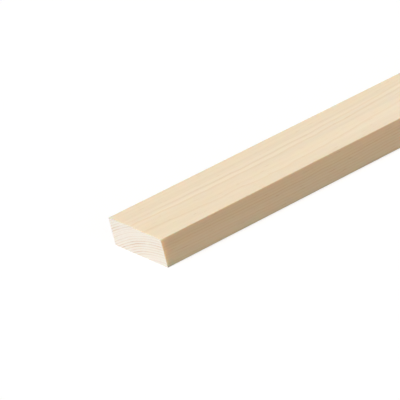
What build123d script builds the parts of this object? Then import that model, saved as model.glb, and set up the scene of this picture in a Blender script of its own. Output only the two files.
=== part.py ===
from build123d import *
import os
from math import radians, tan

# Planed timber batten of rhombus section: one straight stick of pale softwood, cut square at both ends.
# The two broad faces are parallel. The two narrow edges lean the same way, so the section is a
# parallelogram, and a row of such battens sheds water down every edge.
#
# Frame: X runs along the grain and Z is up through the thickness. The origin lies under the middle of
# the batten, on the surface that it rests on. Sizes are in millimetres and degrees.

# Driving dimensions
length = 2000.0  # sold length, cut square
face_width = 69.0  # width of each broad face before its arrises are eased
thickness = 27.0  # planed thickness between the broad faces
edge_lean = 20.0  # lean of both narrow edges away from square
arris_radius = 0.6  # easing of the four long arrises, just off sharp

# Worked out from the driving dimensions
half_face = face_width / 2
half_offset = thickness * tan(radians(edge_lean)) / 2  # how far each broad face sits off the middle

os.makedirs("parts", exist_ok=True)

# Batten: the leaning section, drawn across the grain, eased at its corners and run along the grain
with BuildPart() as batten:
    with BuildSketch(Plane.YZ) as section:
        with BuildLine():
            Polyline(
                (-half_face - half_offset, 0),
                (half_face - half_offset, 0),
                (half_face + half_offset, thickness),
                (-half_face + half_offset, thickness),
                close=True,
            )
        make_face()
        fillet(section.vertices(), radius=arris_radius)
    extrude(amount=length / 2, both=True)

batten.part.label = "batten"
export_step(batten.part, "parts/batten.step")
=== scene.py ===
import math

import bmesh
import bpy
from bpy.props import FloatProperty, FloatVectorProperty, PointerProperty
from mathutils import Euler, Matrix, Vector


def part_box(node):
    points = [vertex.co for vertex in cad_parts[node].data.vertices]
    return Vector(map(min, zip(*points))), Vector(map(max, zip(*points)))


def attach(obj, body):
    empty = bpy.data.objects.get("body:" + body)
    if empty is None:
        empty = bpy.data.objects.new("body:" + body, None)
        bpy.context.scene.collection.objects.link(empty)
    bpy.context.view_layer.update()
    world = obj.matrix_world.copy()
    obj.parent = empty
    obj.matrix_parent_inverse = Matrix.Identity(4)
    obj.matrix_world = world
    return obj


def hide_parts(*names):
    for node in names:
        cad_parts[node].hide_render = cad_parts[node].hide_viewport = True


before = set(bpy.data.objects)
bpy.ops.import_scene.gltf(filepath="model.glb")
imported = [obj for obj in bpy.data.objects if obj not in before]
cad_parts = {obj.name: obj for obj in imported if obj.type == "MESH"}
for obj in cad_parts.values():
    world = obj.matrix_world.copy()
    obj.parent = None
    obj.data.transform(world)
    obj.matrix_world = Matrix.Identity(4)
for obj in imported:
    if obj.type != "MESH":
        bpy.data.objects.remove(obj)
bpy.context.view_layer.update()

bl_info = {
    "name": "Planed spruce batten",
    "version": (1, 0, 0),
    "blender": (4, 5, 0),
    "location": "View3D > Sidebar > Batten",
    "description": "Models a planed spruce batten of rhombus section and the stage that it is shown on",
    "category": "Object",
}

MM = 0.001
BODY = "root"
CAD_NODE = "batten"


def linear(hex_colour):
    """Linear RGB of an sRGB hex colour such as EEDDC0."""
    shares = [int(hex_colour[i:i + 2], 16) / 255 for i in (0, 2, 4)]
    return tuple(c / 12.92 if c <= 0.04045 else ((c + 0.055) / 1.055) ** 2.4 for c in shares)


# Sizes that the frame gives: X along the grain, Z through the thickness, and the section leaning along Y
LOW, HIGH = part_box(CAD_NODE)
CAD_LENGTH, CAD_WIDTH, CAD_THICKNESS = HIGH - LOW
MIDDLE = Vector((0, 0, (LOW.z + HIGH.z) / 2))
ARRIS_RADIUS = 0.6 * MM  # as the solid has it; its box doesn't show it
SLIVER = 0.01 * MM  # closer than this is the same place
FACING = 0.9  # least share of a normal along a direction, for a face that looks that way


def edge_lean():
    """Lean of the frame's narrow edges away from square, from the largest face that looks sideways."""
    sideways = [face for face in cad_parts[CAD_NODE].data.polygons if abs(face.normal.y) > FACING]
    return math.asin(abs(max(sideways, key=lambda face: face.area).normal.z))


def arris_reach(corner_angle, radius):
    """How far the rounding of a corner reaches along both of its sides."""
    return radius / math.tan(corner_angle / 2)


CAD_LEAN = edge_lean()
CAD_OFFSET = CAD_THICKNESS * math.tan(CAD_LEAN)
CAD_ACUTE = math.pi / 2 - CAD_LEAN
# Rounding takes a little off the width at each acute arris, which a face has before it is eased
CAD_FACE = CAD_WIDTH - CAD_OFFSET + 2 * (arris_reach(CAD_ACUTE, ARRIS_RADIUS) - ARRIS_RADIUS)


class BattenSizes(bpy.types.PropertyGroup):
    """Sizes of the batten, as the frame has them, and of the fine relief on its sawn ends"""

    length: FloatProperty(
        name="Length", description="Length along the grain", default=CAD_LENGTH, unit="LENGTH")
    face_width: FloatProperty(
        name="Face width", description="Width of each broad face, from sharp arris to sharp arris",
        default=CAD_FACE, unit="LENGTH")
    thickness: FloatProperty(
        name="Thickness", description="Planed thickness", default=CAD_THICKNESS, unit="LENGTH")
    offset: FloatProperty(
        name="Edge offset", description="How far the front face sits sideways of the back face",
        default=CAD_OFFSET, unit="LENGTH")
    arris: FloatProperty(
        name="Arris radius", description="Easing of the four long arrises",
        default=ARRIS_RADIUS, unit="LENGTH")
    end_grid: FloatProperty(
        name="End grid", description="Spacing of the cuts that carry the relief of the sawn ends",
        default=0.45 * MM, unit="LENGTH")
    length_step: FloatProperty(
        name="Length step", description="Spacing of the cuts along the length",
        default=50 * MM, unit="LENGTH")
    saw_depth: FloatProperty(
        name="Saw depth", description="Depth of the marks that the saw leaves on an end",
        default=0.06 * MM, unit="LENGTH")
    ring_depth: FloatProperty(
        name="Ring depth", description="How far the saw tears soft early wood out below the late wood",
        default=0.06 * MM, unit="LENGTH")


class SpruceLook(bpy.types.PropertyGroup):
    """Colours of the wood and the place of the tree's centre"""

    early: FloatVectorProperty(
        name="Early wood", description="Pale spring growth on a planed face", subtype="COLOR",
        default=linear("EFDFC5"), min=0, max=1)
    warm: FloatVectorProperty(
        name="Warm early wood", description="Spring growth where the wood is yellower", subtype="COLOR",
        default=linear("EEDCBE"), min=0, max=1)
    late: FloatVectorProperty(
        name="Late wood", description="Darker summer line on a planed face", subtype="COLOR",
        default=linear("E2C9A3"), min=0, max=1)
    resin: FloatVectorProperty(
        name="Resin", description="Short dashes where resin canals are cut open", subtype="COLOR",
        default=linear("C79E66"), min=0, max=1)
    # Whiter than the faces' early wood: partly the end grain's own colour and partly painted light, for the
    # end's stronger lighting
    end_early_with_painted_light: FloatVectorProperty(
        name="End early wood", description="Spring growth on a sawn end", subtype="COLOR",
        default=linear("F7F4ED"), min=0, max=1)
    end_late: FloatVectorProperty(
        name="End late wood", description="Pinkish summer line on a sawn end", subtype="COLOR",
        default=linear("D8BCA6"), min=0, max=1)
    pith_side: FloatProperty(
        name="Pith to the side", description="Sideways place of the tree's centre at the near end",
        default=-38.1 * MM, unit="LENGTH")
    pith_height: FloatProperty(
        name="Pith height", description="Height of the tree's centre at the near end",
        default=-85 * MM, unit="LENGTH")


class StageLook(bpy.types.PropertyGroup):
    """Camera, lamps and floor"""

    azimuth: FloatProperty(
        name="Azimuth", description="Turn of the camera round the batten, from looking along +Y",
        default=math.radians(-47.58), subtype="ANGLE")
    elevation: FloatProperty(
        name="Elevation", description="Height of the camera above the horizon",
        default=math.radians(27.39), subtype="ANGLE")
    lens: FloatProperty(
        name="Lens", description="Focal length of the camera", default=369.4, unit="CAMERA")
    distance: FloatProperty(
        name="Distance", description="Depth of the near corner in front of the camera",
        default=3.933, unit="LENGTH")
    near_corner: FloatVectorProperty(
        name="Near corner", description="Place of the near end's front corner in the picture, in pixels",
        size=2, default=(160.34, 239.92))
    ambient: FloatProperty(name="Ambient", description="Even light from all round", default=0.23)
    key: FloatProperty(
        name="Key", description="Light of the soft key lamp on a surface that faces it", default=0.92)
    fill: FloatProperty(
        name="Fill", description="Light of the warm fill lamp on a surface that faces it", default=0.17)
    fill_colour: FloatVectorProperty(
        name="Fill colour", description="Colour of the fill lamp", subtype="COLOR",
        default=linear("FFDDB4"), min=0, max=1)
    floor_colour: FloatVectorProperty(
        name="Floor colour", description="What the floor sends back at the batten", subtype="COLOR",
        default=(0.50, 0.43, 0.34), min=0, max=1)


def node(tree, kind, inputs=None, out=0, **settings):
    """Add one node with its settings, fill or link its inputs, and return one of its output sockets."""
    made = tree.nodes.new(kind)
    for name, value in settings.items():
        setattr(made, name, value)
    for socket, value in (inputs or {}).items():
        if isinstance(value, bpy.types.NodeSocket):
            tree.links.new(value, made.inputs[socket])
        else:
            made.inputs[socket].default_value = value
    return made.outputs[out] if made.outputs else None


# Sockets of the Mix node for colours, which repeats its socket names
MIX_FACTOR, MIX_A, MIX_B, MIX_RESULT = 0, 6, 7, 2


def blend(tree, factor, first, second):
    """A colour between two, of which the first may be a socket."""
    start = first if isinstance(first, bpy.types.NodeSocket) else (*first, 1)
    return node(
        tree, "ShaderNodeMix", {MIX_FACTOR: factor, MIX_A: start, MIX_B: (*second, 1)},
        out=MIX_RESULT, data_type="RGBA")


# Growth of the tree, in millimetres, because the pattern is worked out in them
RING_WIDTH = 2.65
LEAN_YEARS_AT = 117.0  # radius of a few lean years, whose rings are narrow
LEAN_YEARS_SPREAD = 2.5
LEAN_YEARS_EXTRA = 0.25  # how many more rings they have to the millimetre
RING_SHIFT = 0.22  # share of a ring that moves every line inwards
RING_SEED = 9293.0  # which years made a strong line and which a weak one
RING_WOBBLE = 0.30  # uneven growth round a ring
WOBBLE_SIZE = 14.0
RING_WAVE = 0.7  # small waves of a ring along the length
WAVE_LENGTH = 30.0
WAVE_ACROSS = 18.0
PATCH_SIZE = 14.0  # where a ring's line is stronger or fades
PATCH_SEED = 2527.9
PATCH_WEAK, PATCH_STRONG = 0.25, 1.3  # what a patch makes of a line
YOUNG_UNTIL = 106.0  # radius up to which the years have stronger lines
YOUNG_FADE = 10.0  # over how much more they weaken
YOUNG_GAIN = 1.6
LATE_FROM, LATE_FULL = 0.40, 0.92  # shares of a year at which late wood begins and is all there is
LATE_UNTIL = 0.94  # share of a year at which it stops
GRAIN_STRETCH = 60.0  # how much longer than wide the wood's features are
PITH_DRIFT = 15.2  # sideways drift of the pith in each metre of length
PITH_BOW = 2.66  # how far the pith bows up and down
BOW_WAVE = 840.0  # length of one bow down and one up
NOISE_LOW, NOISE_HIGH = 0.35, 0.65  # most of a soft noise lies between these


class Wood:
    """The batten's growth at each place, as sockets that shaders and geometry nodes both take."""

    def __init__(self, tree, place, look, length):
        self.mm = node(tree, "ShaderNodeVectorMath", {0: place, "Scale": 1 / MM}, operation="SCALE")
        self.grain = self.stretched(tree, GRAIN_STRETCH)
        self.across = self.from_pith(tree, look, length / MM)
        self.radius = node(tree, "ShaderNodeVectorMath", {0: self.across}, out="Value", operation="LENGTH")
        count = self.ring_count(tree)
        self.ring = node(tree, "ShaderNodeMath", {0: count}, operation="FLOOR")
        self.share = node(tree, "ShaderNodeMath", {0: count}, operation="FRACT")
        self.strength = self.line_strength(tree)
        self.late = self.late_wood(tree)

    def stretched(self, tree, stretch):
        """Place in millimetres for a pattern that is this much longer along the grain than across it."""
        return node(
            tree, "ShaderNodeVectorMath", {0: self.mm, 1: (1 / stretch, 1, 1)}, operation="MULTIPLY")

    def from_pith(self, tree, look, length):
        """Place across the grain from the pith, which drifts sideways and bows along the length."""
        along = node(tree, "ShaderNodeSeparateXYZ", {0: self.mm})
        start = node(tree, "ShaderNodeMath", {0: along, 1: length / 2}, operation="ADD")
        side = node(
            tree, "ShaderNodeMath", {0: start, 1: PITH_DRIFT * MM, 2: look.pith_side / MM},
            operation="MULTIPLY_ADD")
        turn = node(tree, "ShaderNodeMath", {0: start, 1: math.tau / BOW_WAVE}, operation="MULTIPLY")
        bow = node(tree, "ShaderNodeMath", {0: turn}, operation="SINE")
        height = node(
            tree, "ShaderNodeMath", {0: bow, 1: -PITH_BOW, 2: look.pith_height / MM},
            operation="MULTIPLY_ADD")
        pith = node(tree, "ShaderNodeCombineXYZ", {"Y": side, "Z": height})
        out = node(tree, "ShaderNodeVectorMath", {0: self.mm, 1: pith}, operation="SUBTRACT")
        return node(tree, "ShaderNodeVectorMath", {0: out, 1: (0, 1, 1)}, operation="MULTIPLY")

    def ring_count(self, tree):
        """Number of rings out to a place: even growth, with a step where lean years crowd together."""
        wobble = node(
            tree, "ShaderNodeTexNoise", {"Vector": self.grain, "Scale": 1 / WOBBLE_SIZE, "Detail": 2.0})
        uneven = node(
            tree, "ShaderNodeMath", {0: wobble, 1: 2 * RING_WOBBLE, 2: -RING_WOBBLE - LEAN_YEARS_AT},
            operation="MULTIPLY_ADD")
        wave_space = node(
            tree, "ShaderNodeVectorMath",
            {0: self.mm, 1: (1 / WAVE_LENGTH, 1 / WAVE_ACROSS, 1 / WAVE_ACROSS)}, operation="MULTIPLY")
        wave = node(tree, "ShaderNodeTexNoise", {"Vector": wave_space, "Scale": 1.0, "Detail": 1.0})
        waved = node(
            tree, "ShaderNodeMath", {0: wave, 1: 2 * RING_WAVE, 2: -RING_WAVE}, operation="MULTIPLY_ADD")
        bent = node(tree, "ShaderNodeMath", {0: uneven, 1: waved}, operation="ADD")
        past = node(tree, "ShaderNodeMath", {0: self.radius, 1: bent}, operation="ADD")
        spread = node(tree, "ShaderNodeMath", {0: past, 1: LEAN_YEARS_SPREAD}, operation="DIVIDE")
        step = node(tree, "ShaderNodeMath", {0: spread}, operation="TANH")
        crowd = node(
            tree, "ShaderNodeMath", {0: step, 1: LEAN_YEARS_EXTRA * LEAN_YEARS_SPREAD, 2: RING_SHIFT},
            operation="MULTIPLY_ADD")
        return node(
            tree, "ShaderNodeMath", {0: past, 1: 1 / RING_WIDTH, 2: crowd}, operation="MULTIPLY_ADD")

    def line_strength(self, tree):
        """How strong each year's line is: by chance from 0 to 1, patchy, and stronger in young years."""
        year = node(tree, "ShaderNodeMath", {0: self.ring, 1: RING_SEED}, operation="ADD")
        chance = node(tree, "ShaderNodeTexWhiteNoise", {"W": year}, noise_dimensions="1D")
        patch = node(
            tree, "ShaderNodeTexNoise",
            {"Vector": self.grain, "W": PATCH_SEED, "Scale": 1 / PATCH_SIZE, "Detail": 1.0},
            noise_dimensions="4D")
        kept = node(
            tree, "ShaderNodeMapRange",
            {"Value": patch, "From Min": NOISE_LOW, "From Max": NOISE_HIGH,
             "To Min": PATCH_WEAK, "To Max": PATCH_STRONG})
        patchy = node(tree, "ShaderNodeMath", {0: chance, 1: kept}, operation="MULTIPLY")
        young = node(
            tree, "ShaderNodeMapRange",
            {"Value": self.radius, "From Min": YOUNG_UNTIL, "From Max": YOUNG_UNTIL + YOUNG_FADE,
             "To Min": YOUNG_GAIN, "To Max": 1.0})
        return node(tree, "ShaderNodeMath", {0: patchy, 1: young}, operation="MULTIPLY")

    def late_wood(self, tree):
        """How far the year has gone to late wood, from 0 to 1: it comes slowly and ends at once."""
        rise = node(
            tree, "ShaderNodeMapRange", {"Value": self.share, "From Min": LATE_FROM, "From Max": LATE_FULL},
            interpolation_type="SMOOTHSTEP")
        fall = node(
            tree, "ShaderNodeMapRange",
            {"Value": self.share, "From Min": LATE_UNTIL, "From Max": 1.0, "To Min": 1.0, "To Max": 0.0},
            interpolation_type="SMOOTHSTEP")
        return node(tree, "ShaderNodeMath", {0: rise, 1: fall}, operation="MULTIPLY")

    def line(self, tree, weak, strong):
        """How much of the late wood's colour shows, in lines that go from weak to strong."""
        shown = node(
            tree, "ShaderNodeMapRange", {"Value": self.strength, "To Min": weak, "To Max": strong},
            clamp=False)
        return node(tree, "ShaderNodeMath", {0: self.late, 1: shown}, operation="MULTIPLY")


def new_material(name):
    """An empty node material and its tree."""
    made = bpy.data.materials.new(name)
    made.use_nodes = True
    made.node_tree.nodes.clear()
    return made, made.node_tree


# Light in wood
WOOD_IOR = 1.5
COLOUR_REACH = (1.0, 0.5, 0.3)  # how far red, green and blue go in it, as shares of what red does

# Planed spruce. Knives shear the fibres clean, so the face is smooth and silky: cream, with soft honey
# lines where a ring's late wood comes to the surface, faint streaks along the grain and a dull sheen.
FACE_LINE_WEAK, FACE_LINE_STRONG = 0.02, 0.51
TONE_SIZE = 22.0  # mm; broad, soft changes of colour
CANAL_WIDTH = 0.9  # mm; real resin canals are about 0.2 mm wide and are drawn coarser, to show
CANAL_STRETCH = 14.0
CANAL_FROM, CANAL_FULL = 0.70, 0.80  # noise at which a canal begins and is fully there
CANAL_RESIN = 0.35  # share of resin's colour in a canal
CANAL_EARLY = 0.35  # how much of a canal shows in early wood
FIBRE_WIDTH = 1.3  # mm; real fibres are 0.03 mm wide and are drawn coarser, to show
FIBRE_STRETCH = 130.0
FIBRE_ROUGHNESS = 0.6
STREAK_WIDTH = 7.0  # mm; soft bands, lighter and darker
STREAK_WEIGHT = 2.75  # how much more they show than fibres
FACE_SHADE = 0.095  # how much lighter and darker both make it
FACE_ROUGH_LOW, FACE_ROUGH_HIGH = 0.46, 0.66
LATE_POLISH = 0.10  # how much less rough late wood is
LATE_PROUD = 0.6  # how much of a fibre's height it stands proud
FACE_BUMP, FACE_RELIEF = 0.6, 0.02  # strength, and height in mm
FACE_SPECULAR = 0.35
FACE_SOAK = 0.8  # share of the light that goes into the wood and comes out beside
FACE_REACH = 5.0  # mm that red light goes in the wood
GLOW_REACH = 22.0  # mm that fibres carry it at a cut end
GLOW_WIDTH = 10.0  # mm from the end to where that is over


def planed_spruce(look, length):
    """Material of the four long faces."""
    made, tree = new_material("planed_spruce")
    place = node(tree, "ShaderNodeTexCoord", out="Object")
    wood = Wood(tree, place, look, length)
    # Colour of the rings
    line = wood.line(tree, FACE_LINE_WEAK, FACE_LINE_STRONG)
    tone = node(tree, "ShaderNodeTexNoise", {"Vector": wood.grain, "Scale": 1 / TONE_SIZE, "Detail": 2.0})
    warmth = node(
        tree, "ShaderNodeMapRange", {"Value": tone, "From Min": NOISE_LOW, "From Max": NOISE_HIGH},
        interpolation_type="SMOOTHSTEP")
    early = blend(tree, warmth, look.early, look.warm)
    rings = blend(tree, line, early, look.late)
    # Resin canals, mostly in the late wood
    canal_noise = node(
        tree, "ShaderNodeTexNoise",
        {"Vector": wood.stretched(tree, CANAL_STRETCH), "Scale": 1 / CANAL_WIDTH, "Detail": 0.0})
    canal = node(
        tree, "ShaderNodeMapRange",
        {"Value": canal_noise, "From Min": CANAL_FROM, "From Max": CANAL_FULL, "To Max": CANAL_RESIN},
        interpolation_type="SMOOTHSTEP")
    canal_share = node(
        tree, "ShaderNodeMapRange", {"Value": wood.late, "To Min": CANAL_EARLY, "To Max": 1.0})
    canals = node(tree, "ShaderNodeMath", {0: canal, 1: canal_share}, operation="MULTIPLY")
    flecked = blend(tree, canals, rings, look.resin)
    # Fibres and soft bands make it a little lighter and darker
    fibre = node(
        tree, "ShaderNodeTexNoise",
        {"Vector": wood.stretched(tree, FIBRE_STRETCH), "Scale": 1 / FIBRE_WIDTH, "Detail": 3.0,
         "Roughness": FIBRE_ROUGHNESS})
    streak = node(
        tree, "ShaderNodeTexNoise", {"Vector": wood.grain, "Scale": 1 / STREAK_WIDTH, "Detail": 1.0})
    strands = node(
        tree, "ShaderNodeMath", {0: streak, 1: STREAK_WEIGHT, 2: fibre}, operation="MULTIPLY_ADD")
    shade = node(
        tree, "ShaderNodeMapRange",
        {"Value": strands, "From Max": STREAK_WEIGHT + 1,
         "To Min": 1 - FACE_SHADE, "To Max": 1 + FACE_SHADE})
    colour = node(tree, "ShaderNodeVectorMath", {0: flecked, "Scale": shade}, operation="SCALE")
    # Late wood is denser, so it takes more polish from the knives and stands a hair proud
    dull = node(
        tree, "ShaderNodeMapRange", {"Value": fibre, "To Min": FACE_ROUGH_LOW, "To Max": FACE_ROUGH_HIGH})
    rough = node(tree, "ShaderNodeMath", {0: line, 1: -LATE_POLISH, 2: dull}, operation="MULTIPLY_ADD")
    relief = node(tree, "ShaderNodeMath", {0: line, 1: LATE_PROUD, 2: fibre}, operation="MULTIPLY_ADD")
    bump = node(
        tree, "ShaderNodeBump", {"Strength": FACE_BUMP, "Distance": FACE_RELIEF * MM, "Height": relief})
    # Light that enters at a cut end comes out beside it as a warm glow
    along = node(tree, "ShaderNodeSeparateXYZ", {0: wood.mm})
    far = node(tree, "ShaderNodeMath", {0: along}, operation="ABSOLUTE")
    end = length / MM / 2
    carried = node(
        tree, "ShaderNodeMapRange",
        {"Value": far, "From Min": end - GLOW_WIDTH, "From Max": end,
         "To Min": FACE_REACH * MM, "To Max": GLOW_REACH * MM})
    shader = node(
        tree, "ShaderNodeBsdfPrincipled",
        {"Base Color": colour, "Roughness": rough, "Normal": bump, "IOR": WOOD_IOR,
         "Specular IOR Level": FACE_SPECULAR, "Subsurface Weight": FACE_SOAK,
         "Subsurface Radius": COLOUR_REACH, "Subsurface Scale": carried})
    node(tree, "ShaderNodeOutputMaterial", {"Surface": shader})
    return made


# Spruce across the grain, as the saw leaves it. The cut opens the fibres' ends, so it is quite matt, with
# thin pinkish lines of late wood and faint saw marks. Its early wood is whiter than the faces': partly its
# own paler colour and partly painted light, for the stronger light that falls on the end.
END_LINE_WEAK, END_LINE_STRONG = 0.05, 0.47
RAY_WIDTH = 0.7  # mm; wood rays are hair-fine and are drawn coarser, to show
RAY_LENGTH = 14.0
SAW_PITCH = 1.1  # mm from mark to mark
BLADE_CENTRE = (0, 190, 120)  # mm; the marks are arcs round it
MARKS_MOST = 2.0  # rays and saw marks together, each from 0 to 1
END_SHADE = 0.06  # how much lighter and darker they make it
END_ROUGH_DEEP, END_ROUGH_HIGH = 0.95, 0.80
END_BUMP, END_RELIEF = 0.5, 0.05  # strength, and height in mm
END_SPECULAR = 0.15
END_SOAK = 0.15  # share of the light that comes out beside
END_REACH = 3.0  # mm that red light goes in the wood


def saw_marks(tree, wood):
    """Uneven arcs that the teeth of the saw leave, from 0 to 1."""
    reach = node(tree, "ShaderNodeVectorMath", {0: wood.mm, 1: BLADE_CENTRE}, operation="SUBTRACT")
    flat = node(tree, "ShaderNodeVectorMath", {0: reach, 1: (0, 1, 1)}, operation="MULTIPLY")
    arc = node(tree, "ShaderNodeVectorMath", {0: flat}, out="Value", operation="LENGTH")
    return node(
        tree, "ShaderNodeTexNoise", {"W": arc, "Scale": 1 / SAW_PITCH, "Detail": 2.0},
        noise_dimensions="1D")


def sawn_spruce(look, length):
    """Material of the two ends."""
    made, tree = new_material("sawn_spruce_end")
    place = node(tree, "ShaderNodeTexCoord", out="Object")
    wood = Wood(tree, place, look, length)
    line = wood.line(tree, END_LINE_WEAK, END_LINE_STRONG)
    # The pale end colour holds the wood's own colour and also painted light, for the stronger light on the
    # end
    rings = blend(tree, line, look.end_early_with_painted_light, look.end_late)
    # Rays run straight out from the pith
    sideways = node(tree, "ShaderNodeSeparateXYZ", {0: wood.across}, out="Y")
    upwards = node(tree, "ShaderNodeSeparateXYZ", {0: wood.across}, out="Z")
    angle = node(tree, "ShaderNodeMath", {0: sideways, 1: upwards}, operation="ARCTAN2")
    round_it = node(
        tree, "ShaderNodeMath", {0: angle, 1: LEAN_YEARS_AT / RAY_WIDTH}, operation="MULTIPLY")
    outwards = node(tree, "ShaderNodeMath", {0: wood.radius, 1: RAY_LENGTH}, operation="DIVIDE")
    ray_space = node(tree, "ShaderNodeCombineXYZ", {"X": round_it, "Y": outwards})
    ray = node(
        tree, "ShaderNodeTexNoise", {"Vector": ray_space, "Scale": 1.0, "Detail": 2.0},
        noise_dimensions="2D")
    # Rays and saw marks change the shade, the relief and the roughness
    marks = node(tree, "ShaderNodeMath", {0: ray, 1: saw_marks(tree, wood)}, operation="ADD")
    shade = node(
        tree, "ShaderNodeMapRange",
        {"Value": marks, "From Max": MARKS_MOST, "To Min": 1 - END_SHADE, "To Max": 1 + END_SHADE})
    colour = node(tree, "ShaderNodeVectorMath", {0: rings, "Scale": shade}, operation="SCALE")
    bump = node(
        tree, "ShaderNodeBump", {"Strength": END_BUMP, "Distance": END_RELIEF * MM, "Height": marks})
    rough = node(
        tree, "ShaderNodeMapRange",
        {"Value": marks, "From Max": MARKS_MOST, "To Min": END_ROUGH_DEEP, "To Max": END_ROUGH_HIGH})
    shader = node(
        tree, "ShaderNodeBsdfPrincipled",
        {"Base Color": colour, "Roughness": rough, "Normal": bump, "IOR": WOOD_IOR,
         "Specular IOR Level": END_SPECULAR, "Subsurface Weight": END_SOAK,
         "Subsurface Radius": COLOUR_REACH, "Subsurface Scale": END_REACH * MM})
    node(tree, "ShaderNodeOutputMaterial", {"Surface": shader})
    return made


def sawn_relief(look, sizes):
    """Geometry nodes that sink saw marks and torn early wood into both ends, and touch nothing else."""
    tree = bpy.data.node_groups.new("sawn_relief", "GeometryNodeTree")
    tree.interface.new_socket("Geometry", in_out="INPUT", socket_type="NodeSocketGeometry")
    tree.interface.new_socket("Geometry", in_out="OUTPUT", socket_type="NodeSocketGeometry")
    plain = node(tree, "NodeGroupInput")
    place = node(tree, "GeometryNodeInputPosition")
    wood = Wood(tree, place, look, sizes.length)
    soft = node(tree, "ShaderNodeMath", {0: 1.0, 1: wood.late}, operation="SUBTRACT")
    torn = node(tree, "ShaderNodeMath", {0: soft, 1: sizes.ring_depth}, operation="MULTIPLY")
    saw = saw_marks(tree, wood)
    depth = node(tree, "ShaderNodeMath", {0: saw, 1: sizes.saw_depth, 2: torn}, operation="MULTIPLY_ADD")
    along = node(tree, "ShaderNodeSeparateXYZ", {0: place})
    far = node(tree, "ShaderNodeMath", {0: along}, operation="ABSOLUTE")
    at_end = node(
        tree, "ShaderNodeMath", {0: far, 1: sizes.length / 2 - SLIVER}, operation="GREATER_THAN")
    side = node(tree, "ShaderNodeMath", {0: along}, operation="SIGN")
    inwards = node(tree, "ShaderNodeMath", {0: side, 1: -1.0}, operation="MULTIPLY")
    sunk = node(tree, "ShaderNodeMath", {0: inwards, 1: depth}, operation="MULTIPLY")
    offset = node(tree, "ShaderNodeCombineXYZ", {"X": sunk})
    worked = node(
        tree, "GeometryNodeSetPosition", {"Geometry": plain, "Selection": at_end, "Offset": offset})
    node(tree, "NodeGroupOutput", {0: worked})
    return tree


def pick(piece, wanted, kind="faces"):
    """In edit mode, select only the faces or edges that wanted says, and return how many they are."""
    bpy.ops.mesh.select_all(action="DESELECT")
    mesh = bmesh.from_edit_mesh(piece.data)
    chosen = [part for part in getattr(mesh, kind) if wanted(part)]
    for part in chosen:
        part.select_set(True)
    bmesh.update_edit_mesh(piece.data)
    return len(chosen)


def stations(span, step):
    """Places of even cuts across a span that is centred on zero, its two ends left out."""
    count = round(span / step)
    return [span * (i / count - 0.5) for i in range(1, count)]


def cut_across(places, direction, normal):
    """In edit mode, cut every face along planes at places along a direction from the middle."""
    for place in places:
        bpy.ops.mesh.select_all(action="SELECT")
        bpy.ops.mesh.bisect(plane_co=MIDDLE + Vector(direction) * place, plane_no=normal)


ARRIS_SEGMENTS = 4
ANGLE_SLACK = math.radians(5)  # by which a corner may differ from its angle
SMOOTH_ANGLE = math.radians(30)  # faces that meet at less than this are shaded as one


def is_arris(edge, corner, length):
    """Whether an edge runs the whole length, at a corner of the section with this angle."""
    first, second = (v.co for v in edge.verts)
    angle = math.pi - edge.calc_face_angle()
    return abs(first.x - second.x) > length - SLIVER and abs(angle - corner) < ANGLE_SLACK


class TIMBER_OT_batten(bpy.types.Operator):
    """Model the planed batten, with its leaning section, eased arrises and sawn ends"""

    bl_idname = "timber.batten"
    bl_label = "Batten"

    def execute(self, context):
        sizes = context.scene.timber_sizes
        look = context.scene.timber_look
        bpy.ops.object.select_all(action="DESELECT")
        bpy.ops.mesh.primitive_cube_add(
            size=1.0, location=MIDDLE, scale=(sizes.length, sizes.face_width, sizes.thickness))
        piece = context.active_object
        piece.name = "planed_batten"
        bpy.ops.object.transform_apply(location=True, rotation=False, scale=True)
        bpy.ops.object.mode_set(mode="EDIT")
        self.lean_section(piece, sizes)
        self.ease_arrises(piece, sizes)
        self.cut_grid(sizes)
        piece.data.materials.append(planed_spruce(look, sizes.length))
        piece.data.materials.append(sawn_spruce(look, sizes.length))
        pick(piece, lambda face: abs(face.normal.x) > FACING)
        piece.active_material_index = 1
        bpy.ops.object.material_slot_assign()
        bpy.ops.mesh.select_all(action="DESELECT")
        bpy.ops.object.mode_set(mode="OBJECT")
        relief = piece.modifiers.new("sawn_relief", "NODES")
        relief.node_group = sawn_relief(look, sizes)
        bpy.ops.object.modifier_apply(modifier=relief.name)
        bpy.ops.object.shade_smooth_by_angle(angle=SMOOTH_ANGLE)
        lay_out_bake_map(piece, sizes)
        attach(piece, BODY)
        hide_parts(CAD_NODE)
        return {"FINISHED"}

    @staticmethod
    def lean_section(piece, sizes):
        """Slide the front and back faces apart sideways, which leans both edges the same way."""
        for up in (1, -1):
            pick(piece, lambda face: face.normal.z * up > FACING)
            bpy.ops.transform.translate(value=(0, up * sizes.offset / 2, 0))

    @staticmethod
    def ease_arrises(piece, sizes):
        """Round the four long arrises; at one radius the acute ones reach further than the blunt ones."""
        acute = math.atan2(sizes.thickness, sizes.offset)
        for corner in (acute, math.pi - acute):
            found = pick(piece, lambda edge: is_arris(edge, corner, sizes.length), "edges")
            eased = bpy.ops.mesh.bevel(
                offset_type="OFFSET", offset=arris_reach(corner, sizes.arris), segments=ARRIS_SEGMENTS,
                profile=0.5)
            if found != 2 or eased != {"FINISHED"}:
                raise RuntimeError("Two arrises of the batten were not eased")

    @staticmethod
    def cut_grid(sizes):
        """Cut the section along both of its directions, and the length into even stretches."""
        along_edge = Vector((0, sizes.offset, sizes.thickness)).normalized()
        edge_normal = along_edge.cross((1, 0, 0))
        cut_across(stations(sizes.face_width, sizes.end_grid), (0, 1, 0), edge_normal)
        cut_across(stations(sizes.thickness, sizes.end_grid), (0, 0, 1), (0, 0, 1))
        cut_across(stations(sizes.length, sizes.length_step), (1, 0, 0), (1, 0, 0))


# The bake map: the long faces are strips, one above the other, and the ends share the last strip.
# Rooms are given as shares of the map.
BAKE_MAP = "OFBake"
BAKE_MARGIN = 0.005
BAKE_BROAD = 0.30  # height of a broad face's strip
BAKE_EDGE = 0.12  # height of an edge's strip
BAKE_END = 0.5  # width of an end's room


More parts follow.
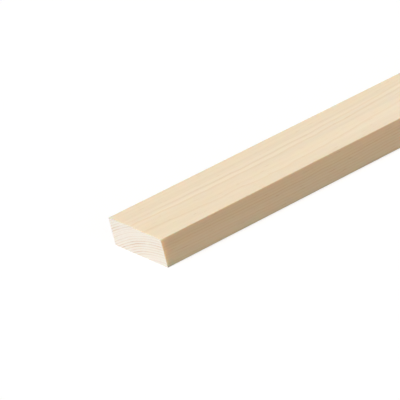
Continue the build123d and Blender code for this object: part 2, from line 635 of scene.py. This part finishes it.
def in_room(start, room, share):
    """Place in the map of a share of a face, from -0.5 to 0.5, in a room that keeps a margin."""
    return start + BAKE_MARGIN + (room - 2 * BAKE_MARGIN) * (share + 0.5)


def lay_out_bake_map(piece, sizes):
    """A UV map that gives every face its own room, so that fine lines along the grain survive a bake."""
    front = Vector((0, 0, 1))
    far_end = Vector((1, 0, 0))
    lean = Vector((0, sizes.offset, sizes.thickness)).normalized()
    near_edge = far_end.cross(lean)
    # Directions whose length turns a place on the batten into a share of it
    along = Vector((1 / sizes.length, 0, 0))
    across = Vector((0, 1 / CAD_WIDTH, 0))
    upwards = Vector((0, 0, 1 / sizes.thickness))
    leaning = lean * lean.z / sizes.thickness
    edges = 2 * BAKE_BROAD
    ends = edges + 2 * BAKE_EDGE
    # Normal, direction to the right and up in the map, left, bottom, width, height
    rooms = [
        (front, along, across, 0, 0, 1, BAKE_BROAD),
        (-front, along, across, 0, BAKE_BROAD, 1, BAKE_BROAD),
        (near_edge, along, leaning, 0, edges, 1, BAKE_EDGE),
        (-near_edge, along, leaning, 0, edges + BAKE_EDGE, 1, BAKE_EDGE),
        (-far_end, across, upwards, 0, ends, BAKE_END, 1 - ends),
        (far_end, across, upwards, BAKE_END, ends, BAKE_END, 1 - ends)]
    layer = piece.data.uv_layers.new(name=BAKE_MAP)
    spots = [v.co - MIDDLE for v in piece.data.vertices]
    for face in piece.data.polygons:
        room = max(rooms, key=lambda row: row[0].dot(face.normal))
        right, up, left, bottom, width, height = room[1:]
        for loop in face.loop_indices:
            spot = spots[piece.data.loops[loop].vertex_index]
            layer.data[loop].uv = (
                in_room(left, width, spot.dot(right)), in_room(bottom, height, spot.dot(up)))


# Directions from the batten to its lamps, and how wide each lamp looks from there, in degrees
KEY_TOWARDS, KEY_SOFTNESS = (-0.62, 0.24, 0.75), 25
FILL_TOWARDS, FILL_SOFTNESS = (-0.10, -0.95, 0.30), 60
WHITE = (1, 1, 1)


class TIMBER_OT_stage(bpy.types.Operator):
    """Set the floor, the lamps and the camera"""

    bl_idname = "timber.stage"
    bl_label = "Stage"

    def execute(self, context):
        stage = context.scene.timber_stage
        add_floor(stage)
        light_world(context.scene, stage)
        add_lamp("key_lamp", KEY_TOWARDS, stage.key, WHITE, KEY_SOFTNESS)
        add_lamp("fill_lamp", FILL_TOWARDS, stage.fill, stage.fill_colour, FILL_SOFTNESS)
        add_camera(context, stage)
        context.scene.view_settings.view_transform = "Standard"
        return {"FINISHED"}


FLOOR_SIDE = 80.0  # metres, so that no view from afar finds its edge
FLOOR_GREY = (0.45, 0.45, 0.45)  # how much light the camera sees on it
FLOOR_GLOW = 0.58  # what is added for the camera, so that the lit floor is white and its shadow pale


def add_floor(stage):
    """A wide pale floor that keeps the batten's soft shadow."""
    bpy.ops.object.select_all(action="DESELECT")
    bpy.ops.mesh.primitive_plane_add(size=FLOOR_SIDE, location=(0, 0, 0))
    floor = bpy.context.active_object
    floor.name = "floor"
    made, tree = new_material("pale_floor")
    seen = seen_ray(tree)
    pale = blend(tree, seen, stage.floor_colour, FLOOR_GREY)
    matt = node(tree, "ShaderNodeBsdfDiffuse", {"Color": pale})
    level = node(tree, "ShaderNodeMath", {0: seen, 1: FLOOR_GLOW}, operation="MULTIPLY")
    glow = node(tree, "ShaderNodeEmission", {"Strength": level})
    both = node(tree, "ShaderNodeAddShader", {0: matt, 1: glow})
    node(tree, "ShaderNodeOutputMaterial", {"Surface": both})
    floor.data.materials.append(made)


def seen_ray(tree):
    """1 for rays from the camera, also by way of a reflection or through glass, and 0 for light."""
    camera = node(tree, "ShaderNodeLightPath", out="Is Camera Ray")
    glossy = node(tree, "ShaderNodeLightPath", out="Is Glossy Ray")
    through = node(tree, "ShaderNodeLightPath", out="Is Transmission Ray")
    either = node(tree, "ShaderNodeMath", {0: camera, 1: glossy}, operation="MAXIMUM")
    return node(tree, "ShaderNodeMath", {0: either, 1: through}, operation="MAXIMUM")


def light_world(scene, stage):
    """Even light from all round, which the camera sees as white."""
    scene.world = bpy.data.worlds.new("studio")
    scene.world.use_nodes = True
    tree = scene.world.node_tree
    tree.nodes.clear()
    light = node(tree, "ShaderNodeBackground", {"Color": (*WHITE, 1), "Strength": stage.ambient})
    white = node(tree, "ShaderNodeBackground", {"Color": (*WHITE, 1), "Strength": 1.0})
    both = node(tree, "ShaderNodeMixShader", {0: seen_ray(tree), 1: light, 2: white})
    node(tree, "ShaderNodeOutputWorld", {"Surface": both})


def add_lamp(name, towards, level, colour, softness):
    """A broad soft lamp, even along the whole batten, that lights a surface facing it to level."""
    bpy.ops.object.light_add(type="SUN", location=towards)
    lamp = bpy.context.active_object
    lamp.name = name
    lamp.rotation_euler = Vector(towards).to_track_quat("Z", "Y").to_euler()
    lamp.data.energy = level * math.pi
    lamp.data.color = colour
    lamp.data.angle = math.radians(softness)


PICTURE_SIDE = 400  # pixels
SENSOR_WIDTH = 36.0  # mm


def add_camera(context, stage):
    """A long lens at the photograph's angle, placed so that the near corner falls on its pixel."""
    sizes = context.scene.timber_sizes
    turn = Euler((math.pi / 2 - stage.elevation, 0, stage.azimuth))
    bpy.ops.object.camera_add(rotation=turn)
    camera = context.active_object
    camera.data.sensor_width = SENSOR_WIDTH
    camera.data.lens = stage.lens
    pixel = stage.distance * SENSOR_WIDTH / stage.lens / PICTURE_SIDE
    right = (stage.near_corner[0] - PICTURE_SIDE / 2) * pixel
    up = (PICTURE_SIDE / 2 - stage.near_corner[1]) * pixel
    corner = MIDDLE + Vector((-sizes.length, sizes.offset - sizes.face_width, sizes.thickness)) / 2
    camera.location = corner - turn.to_matrix() @ Vector((right, up, -stage.distance))
    context.scene.camera = camera


class TIMBER_PT_sidebar(bpy.types.Panel):
    """The batten and its stage"""

    bl_idname = "TIMBER_PT_sidebar"
    bl_label = "Planed spruce batten"
    bl_space_type = "VIEW_3D"
    bl_region_type = "UI"
    bl_category = "Batten"

    def draw(self, context):
        scene = context.scene
        groups = {"Batten": scene.timber_sizes, "Spruce": scene.timber_look, "Stage": scene.timber_stage}
        for heading, group in groups.items():
            box = self.layout.box()
            box.label(text=heading)
            for name in group.__annotations__:
                box.prop(group, name)
        self.layout.operator(TIMBER_OT_batten.bl_idname)
        self.layout.operator(TIMBER_OT_stage.bl_idname)


CLASSES = (BattenSizes, SpruceLook, StageLook, TIMBER_OT_batten, TIMBER_OT_stage, TIMBER_PT_sidebar)


def register():
    """Add the add-on's classes and its three groups of settings."""
    for made in CLASSES:
        bpy.utils.register_class(made)
    bpy.types.Scene.timber_sizes = PointerProperty(type=BattenSizes)
    bpy.types.Scene.timber_look = PointerProperty(type=SpruceLook)
    bpy.types.Scene.timber_stage = PointerProperty(type=StageLook)


def unregister():
    """Take them away again."""
    for name in ("timber_stage", "timber_look", "timber_sizes"):
        delattr(bpy.types.Scene, name)
    for made in reversed(CLASSES):
        bpy.utils.unregister_class(made)


def main():
    """Build the batten and its stage."""
    register()
    bpy.ops.timber.batten()
    bpy.ops.timber.stage()


if __name__ == "__main__":
    main()
